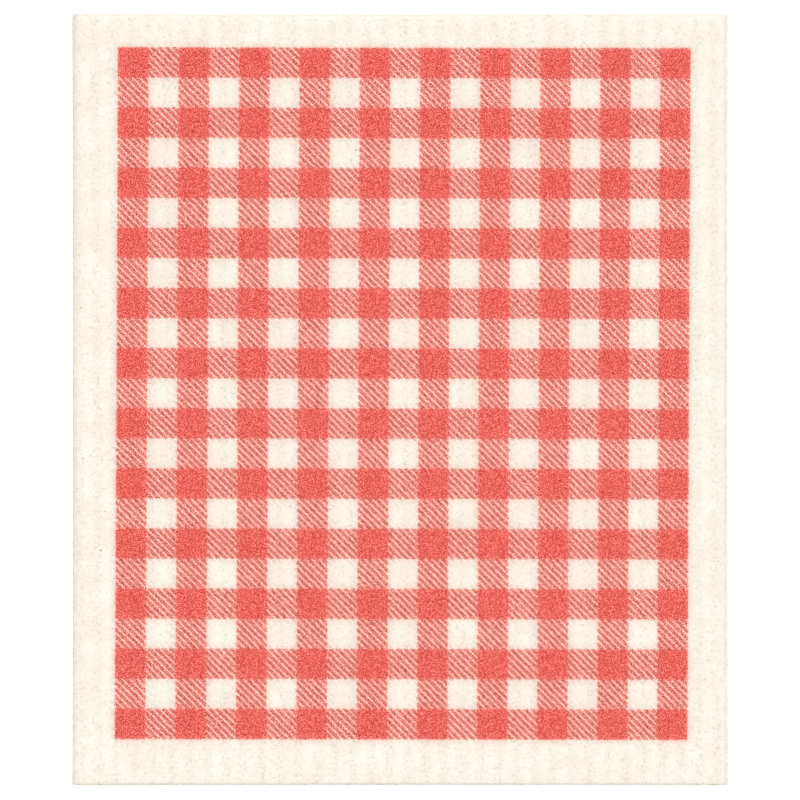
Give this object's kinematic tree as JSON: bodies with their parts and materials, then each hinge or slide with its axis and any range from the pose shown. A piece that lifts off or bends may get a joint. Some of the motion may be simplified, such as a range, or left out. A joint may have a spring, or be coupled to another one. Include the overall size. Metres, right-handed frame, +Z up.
{
  "type": "sponge cloth",
  "caption": "Flat rectangular sponge cloth for wiping dishes and worktops: cream cellulose with fine lengthwise furrows, printed with a red gingham check.",
  "frame": {"origin": "middle of the underside, on the surface that the cloth lies on", "axes": "+X across the short side, +Y along the long side and the furrows, +Z up through the thickness, out of the printed face"},
  "size_m": [0.17, 0.2, 0.002],
  "materials": {
    "printed_sponge": "matte cellulose sponge, printed in red"
  },
  "bodies": {
    "root": {"sponge_cloth": "printed_sponge"}
  },
  "joints": []
}
